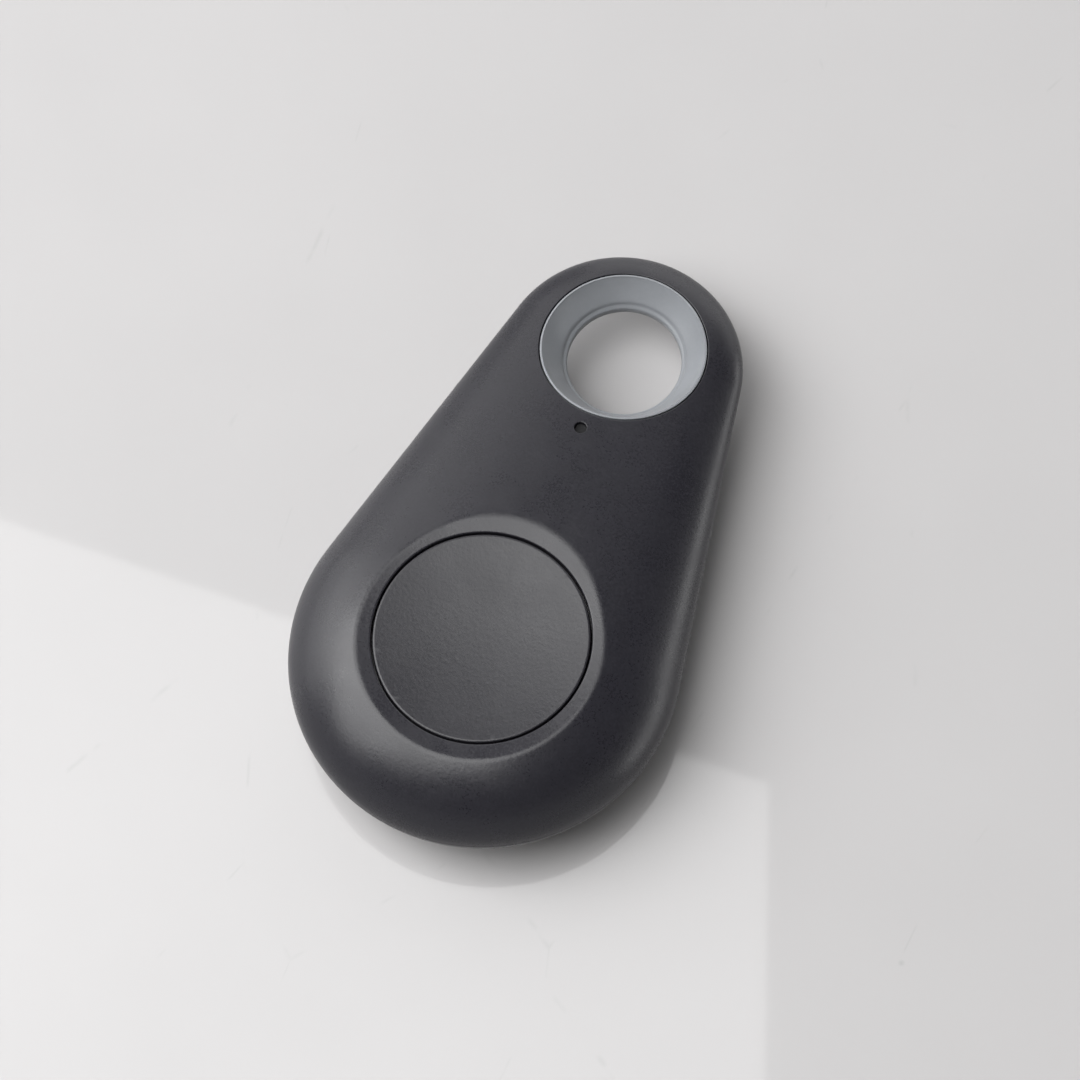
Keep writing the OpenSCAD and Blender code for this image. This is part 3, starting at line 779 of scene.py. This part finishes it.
# ---------------- material making
class Paint:
    """A material's node tree with short ways to add the nodes that the finishes share."""

    def __init__(self, name, colour, metal=0.0):
        self.material = bpy.data.materials.new(name)
        self.material.use_nodes = True
        self.tree = self.material.node_tree
        self.shader = self.tree.nodes["Principled BSDF"]
        self.shader.inputs["Metallic"].default_value = metal
        self.colour = (*colour, 1)
        self.place = self.node("ShaderNodeTexCoord").outputs["Object"]

    def node(self, kind, inputs=None, **settings):
        """Adds a node with its settings, and with inputs that are values or sockets to link."""
        made = self.tree.nodes.new(kind)
        for name, value in settings.items():
            setattr(made, name, value)
        for key, value in (inputs or {}).items():
            if isinstance(value, bpy.types.NodeSocket):
                self.tree.links.new(value, made.inputs[key])
            else:
                made.inputs[key].default_value = value
        return made

    def set(self, **values):
        """Sets uniform values on the shader's own sockets."""
        for name, value in values.items():
            self.shader.inputs[name.replace("_", " ")].default_value = value

    def noise(self, size, detail=3.0, where=None):
        """Cloudy noise whose features are about size millimetres."""
        return self.node("ShaderNodeTexNoise", {"Vector": where or self.place, "Scale": 1 / (size * MM),
                                                "Detail": detail, "Roughness": 0.6}).outputs["Fac"]

    def stretched(self, scale):
        """Object coordinates squeezed along each axis, for streaks."""
        return self.node("ShaderNodeMapping", {"Vector": self.place, "Scale": scale}).outputs["Vector"]

    def cells(self, size, feature="F1", where=None):
        """Distances within cells that are about size millimetres wide."""
        return self.node("ShaderNodeTexVoronoi", {"Vector": where or self.place, "Scale": 1 / (size * MM)},
                         feature=feature).outputs["Distance"]

    def spread(self, value, start, end, low, high):
        """Maps a value between start and end to low and high."""
        return self.node("ShaderNodeMapRange", {"Value": value, "From Min": start, "From Max": end,
                                                "To Min": low, "To Max": high}).outputs["Result"]

    def math(self, operation, a, b=0.0):
        """One sum on one or two values."""
        return self.node("ShaderNodeMath", {0: a, 1: b}, operation=operation).outputs["Value"]

    def mix(self, share, a, b):
        """Colour a where share is 0 and colour b where it is 1."""
        return self.node("ShaderNodeMix", {0: share, 6: a, 7: b}, data_type="RGBA").outputs[2]

    def shade(self, factor):
        """The base colour made darker or lighter."""
        return tuple(min(c * factor, 1) for c in self.colour[:3]) + (1,)

    def tones(self, value, first, second, start=0.35, end=0.65):
        """The base colour in two shades, the first where value is below start."""
        return self.mix(self.spread(value, start, end, 0.0, 1.0), self.shade(first), self.shade(second))

    def worn(self, colour, factor, wear):
        """A colour with a shade of the base colour rubbed in on the outer edges of a shape."""
        point = self.node("ShaderNodeNewGeometry").outputs["Pointiness"]
        edges = self.spread(point, 0.54, 0.62, 0.0, 1.0)
        return self.mix(self.math("MULTIPLY", edges, wear), colour, self.shade(factor))

    def scuffs(self, size=3.2):
        """Sparse hairlines, 1 on a line and 0 elsewhere."""
        lines = self.cells(size, "DISTANCE_TO_EDGE", self.stretched((1.0, 0.35, 0.6)))
        thin = self.spread(lines, 0.0, 0.004, 1.0, 0.0)
        some = self.spread(self.noise(4.5, 2.0), 0.56, 0.66, 0.0, 1.0)
        return self.math("MULTIPLY", thin, some)

    def bump(self, height, depth, normal=None):
        """Normals of a relief depth millimetres high, laid over those of another relief if given."""
        inputs = {"Height": height, "Distance": depth * MM}
        if normal is not None:
            inputs["Normal"] = normal
        return self.node("ShaderNodeBump", inputs).outputs["Normal"]

    def finish(self, colour, rough, normal=None):
        """Joins colour, roughness and relief to the shader and gives the material."""
        for name, value in (("Base Color", colour), ("Roughness", rough), ("Normal", normal)):
            if value is not None:
                self.tree.links.new(value, self.shader.inputs[name])
        return self.material


def moulded(name, colour, rough, grain=0.2, depth=0.007, wear=0.1, mottle=0.45):
    """Matt moulded plastic: spark-eroded grain, faint clouds, smudges from handling and a few hairlines."""
    p = Paint(name, colour)
    fine = p.noise(grain, 2.0)
    pits = p.cells(grain * 1.9)
    clouds = p.tones(p.noise(7.0, 3.0), 0.93, 1.07)
    speckled = p.mix(mottle, clouds, p.tones(fine, 0.7, 1.35, 0.35, 0.7))
    worn = p.worn(speckled, 1.9, wear)
    marked = p.mix(p.math("MULTIPLY", p.scuffs(), 0.25 * wear), worn, p.shade(2.2))
    smudge = p.spread(p.noise(5.0, 4.0), 0.35, 0.7, rough - 0.035, rough + 0.045)
    grainy = p.math("ADD", smudge, p.spread(fine, 0.3, 0.7, -0.03, 0.03))
    height = p.math("ADD", fine, p.math("MULTIPLY", pits, 0.5))
    return p.finish(marked, grainy, p.bump(height, depth))


def gloss_plastic(name, colour, rough):
    """Smooth moulded plastic with flow marks."""
    p = Paint(name, colour)
    flow = p.noise(2.4, 3.0, p.stretched((1.0, 0.4, 1.0)))
    worn = p.worn(p.tones(flow, 0.85, 1.15), 1.6, 0.3)
    skin_rough = p.spread(p.noise(0.9, 3.0), 0.35, 0.65, rough - 0.05, rough + 0.07)
    return p.finish(worn, skin_rough, p.bump(p.noise(0.3, 2.0), 0.002))


def rolled_metal(name, colour, rough, stretch=(1.0, 0.06, 1.0), tarnish=0.8):
    """Pressed sheet metal: rolling streaks, dull patches and bright edges."""
    p = Paint(name, colour, 1.0)
    streaks = p.noise(0.09, 3.0, p.stretched(stretch))
    patches = p.noise(2.2, 4.0)
    tone = p.tones(patches, 1.04, tarnish, 0.35, 0.7)
    bright = p.worn(tone, 1.15, 0.5)
    dull = p.math("ADD", p.spread(streaks, 0.3, 0.7, rough - 0.07, rough + 0.09),
                  p.spread(patches, 0.35, 0.7, -0.03, 0.08))
    return p.finish(bright, dull, p.bump(streaks, 0.0015))


def turned_metal(name, colour, rough):
    """Drawn cell steel: fine rings round the middle and light handling marks."""
    p = Paint(name, colour, 1.0)
    centre = p.node("ShaderNodeVectorMath", {0: p.place, 1: (0, button_y * MM, 0)}, operation="SUBTRACT")
    across = p.node("ShaderNodeSeparateXYZ", {0: centre.outputs[0]})
    radius = p.math("SQRT", p.math("ADD", p.math("POWER", across.outputs[0], 2.0),
                                   p.math("POWER", across.outputs[1], 2.0)))
    rings = p.node("ShaderNodeTexNoise", {"W": p.math("MULTIPLY", radius, 9000.0), "Scale": 1.0},
                   noise_dimensions="1D").outputs["Fac"]
    patches = p.noise(3.0, 4.0)
    tone = p.tones(patches, 1.03, 0.88, 0.35, 0.7)
    marked = p.mix(p.math("MULTIPLY", p.scuffs(2.0), 0.3), tone, p.shade(1.2))
    dull = p.math("ADD", p.spread(rings, 0.3, 0.7, rough - 0.06, rough + 0.08),
                  p.spread(patches, 0.35, 0.7, -0.02, 0.07))
    return p.finish(marked, dull, p.bump(rings, 0.001))


def solder_mask(name, colour):
    """Green circuit board: lacquer over copper tracks, with bare glass fibre at its edges."""
    p = Paint(name, colour)
    p.set(Coat_Weight=0.3, Coat_Roughness=0.15)
    tracks = p.node("ShaderNodeTexBrick", {"Vector": p.place, "Scale": 260.0, "Mortar Size": 0.07,
                                           "Color1": (0, 0, 0, 1), "Color2": (0, 0, 0, 1),
                                           "Mortar": (1, 1, 1, 1)}).outputs["Fac"]
    weave = p.noise(0.35, 2.0, p.stretched((1.0, 0.3, 1.0)))
    tone = p.tones(weave, 0.82, 1.15)
    lit = p.mix(p.math("MULTIPLY", tracks, 0.6), tone, p.shade(1.9))
    facing = p.node("ShaderNodeSeparateXYZ", {0: p.node("ShaderNodeNewGeometry").outputs["Normal"]})
    side = p.spread(p.math("ABSOLUTE", facing.outputs[2]), 0.4, 0.6, 1.0, 0.0)
    whole = p.mix(side, lit, (0.42, 0.4, 0.24, 1))
    dull = p.spread(p.noise(1.2, 3.0), 0.35, 0.65, 0.26, 0.4)
    return p.finish(whole, dull, p.bump(tracks, 0.012, p.bump(weave, 0.003)))


def etched_copper(name, colour, rough):
    """Plated foil: fine crystals and slight tarnish."""
    p = Paint(name, colour, 1.0)
    crystals = p.cells(0.12)
    tone = p.tones(p.noise(1.4, 4.0), 1.05, 0.7, 0.4, 0.7)
    dull = p.spread(crystals, 0.0, 0.7, rough - 0.05, rough + 0.12)
    return p.finish(tone, dull, p.bump(crystals, 0.002))


def solder_metal(name, colour):
    """Solder: bright wavy surface with grey flux haze."""
    p = Paint(name, colour, 1.0)
    waves = p.noise(0.3, 3.0)
    haze = p.noise(0.8, 3.0)
    tone = p.tones(haze, 1.05, 0.75, 0.4, 0.7)
    dull = p.spread(haze, 0.35, 0.7, 0.18, 0.42)
    return p.finish(tone, dull, p.bump(waves, 0.02))


def chip_resin(name, colour):
    """Moulded black epoxy: fine grain, with no marking."""
    p = Paint(name, colour)
    grain = p.noise(0.06, 2.0)
    worn = p.worn(p.tones(p.noise(1.0, 3.0), 0.85, 1.3), 2.5, 0.4)
    dull = p.spread(grain, 0.3, 0.7, 0.42, 0.6)
    return p.finish(worn, dull, p.bump(grain, 0.004))


def sintered(name, colour, rough):
    """Fired ceramic or ferrite: pores and a slightly mottled tone."""
    p = Paint(name, colour)
    pores = p.cells(0.1)
    tone = p.tones(p.noise(0.5, 4.0), 0.82, 1.15)
    dull = p.spread(pores, 0.0, 0.6, rough + 0.12, rough - 0.05)
    return p.finish(tone, dull, p.bump(pores, 0.004))


def paper(name, colour):
    """Fibrous separator paper."""
    p = Paint(name, colour)
    fibres = p.noise(0.12, 4.0, p.stretched((1.0, 0.2, 1.0)))
    tone = p.tones(p.noise(1.5, 3.0), 0.9, 1.03)
    dull = p.spread(fibres, 0.3, 0.7, 0.75, 0.95)
    return p.finish(tone, dull, p.bump(fibres, 0.01))


def pressed_powder(name, colour, rough, metal=0.0):
    """Pressed battery filling: granular and matt."""
    p = Paint(name, colour, metal)
    grains = p.cells(0.16)
    tone = p.tones(p.noise(1.1, 4.0), 0.75, 1.25)
    dull = p.spread(grains, 0.0, 0.6, rough - 0.08, rough + 0.12)
    return p.finish(tone, dull, p.bump(grains, 0.012))


def light_pipe(name):
    """Smoked see-through plastic of the light guide, nearly black in its hole."""
    p = Paint(name, (0.012, 0.012, 0.013))
    p.set(IOR=1.49, Specular_IOR_Level=0.15, Transmission_Weight=0.1)
    flow = p.noise(0.5, 2.0)
    tone = p.tones(flow, 0.8, 1.3)
    dull = p.spread(p.noise(0.2, 2.0), 0.35, 0.65, 0.42, 0.58)
    return p.finish(tone, dull, p.bump(flow, 0.004))


def white_lamp(name):
    """Light-emitting chip package: white resin round a yellow lens."""
    p = Paint(name, (0.75, 0.73, 0.66))
    p.set(Subsurface_Weight=0.1, Subsurface_Radius=(0.0005, 0.0004, 0.0003))
    middle = p.node("ShaderNodeVectorMath", {0: p.place, 1: (light_x * MM, (light_y - 0.55) * MM, 0.0066)},
                    operation="DISTANCE").outputs["Value"]
    lens = p.spread(middle, 0.00032, 0.0004, 1.0, 0.0)
    tone = p.mix(lens, p.shade(1.0), (0.75, 0.55, 0.12, 1))
    dull = p.spread(p.noise(0.3, 2.0), 0.35, 0.65, 0.33, 0.48)
    return p.finish(tone, dull, p.bump(p.noise(0.1, 2.0), 0.003))


def wire_sleeve(name, colour):
    """Thin vinyl insulation with extrusion lines."""
    p = Paint(name, colour)
    lines = p.noise(0.08, 2.0, p.stretched((1.0, 1.0, 0.08)))
    tone = p.tones(p.noise(0.7, 3.0), 0.85, 1.15)
    dull = p.spread(lines, 0.3, 0.7, 0.32, 0.46)
    return p.finish(tone, dull, p.bump(lines, 0.004))


# ---------------- finishes by slot
# Each slot's function, then its colour, its roughness and whatever else the function takes
recipes = {
    "shell_plastic": (moulded, (0.0155, 0.015, 0.0195), 0.3),
    "cap_plastic": (moulded, (0.0165, 0.016, 0.02), 0.35, 0.2, 0.009),
    "collar_plastic": (moulded, (0.215, 0.225, 0.24), 0.36, 0.3, 0.002, 0.02, 0.05),
    "smoked_plastic": (light_pipe,),
    "board_green": (solder_mask, (0.012, 0.09, 0.04)),
    "copper": (etched_copper, (0.75, 0.38, 0.22), 0.3),
    "gold_plate": (etched_copper, (0.9, 0.66, 0.28), 0.25),
    "solder": (solder_metal, (0.72, 0.72, 0.72)),
    "chip_black": (chip_resin, (0.018, 0.018, 0.02)),
    "can_steel": (rolled_metal, (0.68, 0.67, 0.64), 0.3),
    "ferrite": (sintered, (0.06, 0.056, 0.052), 0.6),
    "capacitor_ceramic": (sintered, (0.36, 0.24, 0.13), 0.45),
    "resistor_black": (sintered, (0.03, 0.03, 0.035), 0.4),
    "led_white": (white_lamp,),
    "switch_black": (gloss_plastic, (0.02, 0.02, 0.02), 0.42),
    "spring_steel": (rolled_metal, (0.66, 0.64, 0.6), 0.26, (0.06, 1.0, 1.0), 0.86),
    "plunger_cream": (gloss_plastic, (0.55, 0.5, 0.4), 0.45),
    "cell_steel": (turned_metal, (0.7, 0.69, 0.67), 0.27),
    "gasket_white": (gloss_plastic, (0.7, 0.7, 0.68), 0.4),
    "cathode_black": (pressed_powder, (0.02, 0.02, 0.022), 0.75),
    "separator_paper": (paper, (0.8, 0.79, 0.76)),
    "lithium": (pressed_powder, (0.5, 0.5, 0.53), 0.45, 1.0),
    "buzzer_brass": (turned_metal, (0.78, 0.56, 0.25), 0.3),
    "buzzer_ceramic": (sintered, (0.62, 0.58, 0.46), 0.5),
    "wire_red": (wire_sleeve, (0.5, 0.02, 0.015)),
    "wire_black": (wire_sleeve, (0.02, 0.02, 0.02)),
}
finishes = {slot: make(slot, *values) for slot, (make, *values) in recipes.items()}
for node, piece in {**frame["nodes"], **made}.items():
    piece.data.materials.clear()
    piece.data.materials.append(finishes[slots[node]])


# ---------------- stage
def table_top(half_width=2):
    """Level square at height 0, in metres."""
    mesh = bpy.data.meshes.new("floor")
    corners = [(-half_width, -half_width, 0), (half_width, -half_width, 0),
               (half_width, half_width, 0), (-half_width, half_width, 0)]
    mesh.from_pydata(corners, [], [(0, 1, 2, 3)])
    return placed("floor", mesh)


def lacquered_table():
    """Pale lacquered table top: glossy, with faint clouds, specks and hairlines."""
    p = Paint("table", (0.45, 0.442, 0.443))
    p.set(Coat_Weight=0.48, Coat_Roughness=0.03, Specular_IOR_Level=0.15)
    clouds = p.tones(p.noise(45.0, 3.0), 0.985, 1.015)
    specks = p.spread(p.cells(9.0), 0.0, 0.035, 1.0, 0.0)
    rare = p.math("MULTIPLY", specks, p.spread(p.noise(16.0, 2.0), 0.6, 0.68, 0.0, 0.5))
    dirty = p.mix(rare, clouds, p.shade(0.6))
    scratched = p.mix(p.math("MULTIPLY", p.scuffs(24.0), 0.35), dirty, p.shade(0.8))
    dull = p.spread(p.noise(12.0, 3.0), 0.35, 0.65, 0.3, 0.4)
    return p.finish(scratched, dull)


floor = table_top()
floor.data.materials.append(lacquered_table())


# ---------------- camera
def place_camera(azimuth, elevation, roll, distance, target):
    """Camera that looks at target from a heading right of -Y and an elevation; angles are in radians."""
    back = Vector((math.sin(azimuth) * math.cos(elevation), -math.cos(azimuth) * math.cos(elevation),
                   math.sin(elevation)))
    right = (-back).cross(Vector((0, 0, 1))).normalized()
    up = right.cross(-back)
    across = right * math.cos(roll) + up * math.sin(roll)
    over = up * math.cos(roll) - right * math.sin(roll)
    data = bpy.data.cameras.new("camera")
    data.lens = 108.5
    data.sensor_width = 36
    data.clip_start = 0.01
    camera = placed("camera", data)
    turn = Matrix((across, over, back)).transposed().to_4x4()
    camera.matrix_world = Matrix.Translation(target + back * distance) @ turn
    bpy.context.scene.camera = camera


place_camera(azimuth=0.5375, elevation=1.2086, roll=-0.1283, distance=0.2598,
             target=Vector((-0.000147, 0.000398, 0.005)))


# ---------------- light
def area_light(name, energy, matrix, size):
    """Rectangular soft light that shines along its own -Z, with its width and height."""
    data = bpy.data.lights.new(name, "AREA")
    data.shape = "RECTANGLE"
    data.size, data.size_y = size
    data.energy = energy
    lamp = placed(name, data)
    lamp.matrix_world = matrix
    lamp.visible_camera = False


def aimed(heading, height):
    """Place a metre from the tag and aimed at it, by degrees of heading (0 is -Y, 90 +X) and elevation."""
    a, e = math.radians(heading), math.radians(height)
    at = Vector((math.sin(a) * math.cos(e), -math.cos(a) * math.cos(e), math.sin(e)))
    return Matrix.Translation(at) @ (-at).to_track_quat("-Z", "Y").to_matrix().to_4x4()


def leaning_panel(along, across):
    """Place on a leaning plane high on the tag's left, in metres along and across from one corner of it."""
    corner = Vector((-0.032, 0.157, 0.6))
    edge = Vector((-0.19, -0.041, -0.106)).normalized()
    side = Vector((0.032, -0.079, -0.025))
    side = (side - edge * side.dot(edge)).normalized()
    face = edge.cross(side)
    face = face if face.z > 0 else -face
    turn = Matrix((edge, face.cross(edge), face)).transposed().to_4x4()
    return Matrix.Translation(corner + edge * along + side * across) @ turn


def glowing_horizon():
    """World that is bright near the horizon, like pale walls, and dark overhead."""
    world = bpy.data.worlds.new("studio")
    world.use_nodes = True
    tree = world.node_tree
    direction = tree.nodes.new("ShaderNodeTexCoord").outputs["Generated"]
    parts = tree.nodes.new("ShaderNodeSeparateXYZ")
    ramp = tree.nodes.new("ShaderNodeMapRange")
    background = tree.nodes["Background"]
    for key, value in (("From Min", 0.25), ("From Max", 0.6), ("To Min", 0.5), ("To Max", 0.02)):
        ramp.inputs[key].default_value = value
    background.inputs["Color"].default_value = (1, 1, 1, 1)
    tree.links.new(direction, parts.inputs[0])
    tree.links.new(parts.outputs[2], ramp.inputs["Value"])
    tree.links.new(ramp.outputs["Result"], background.inputs["Strength"])
    bpy.context.scene.world = world


area_light("panel", 2.95, leaning_panel(0.26, 0.2), (0.52, 0.4))
area_light("key", 0.7, leaning_panel(0.2, 0.19), (0.3, 0.2))
area_light("left", 2.3, aimed(266, 39), (0.6, 0.6))
area_light("far_left", 1.3, aimed(226, 37), (0.6, 0.6))
area_light("back", 0.8, aimed(180, 37), (0.6, 0.6))
area_light("low_left", 2.0, aimed(266, 18), (0.9, 0.5))
area_light("low_back", 1.5, aimed(180, 12), (1.3, 0.4))
area_light("low_right", 1.7, aimed(112, 6), (1.1, 0.22))
glowing_horizon()
bpy.context.scene.view_settings.view_transform = "Standard"
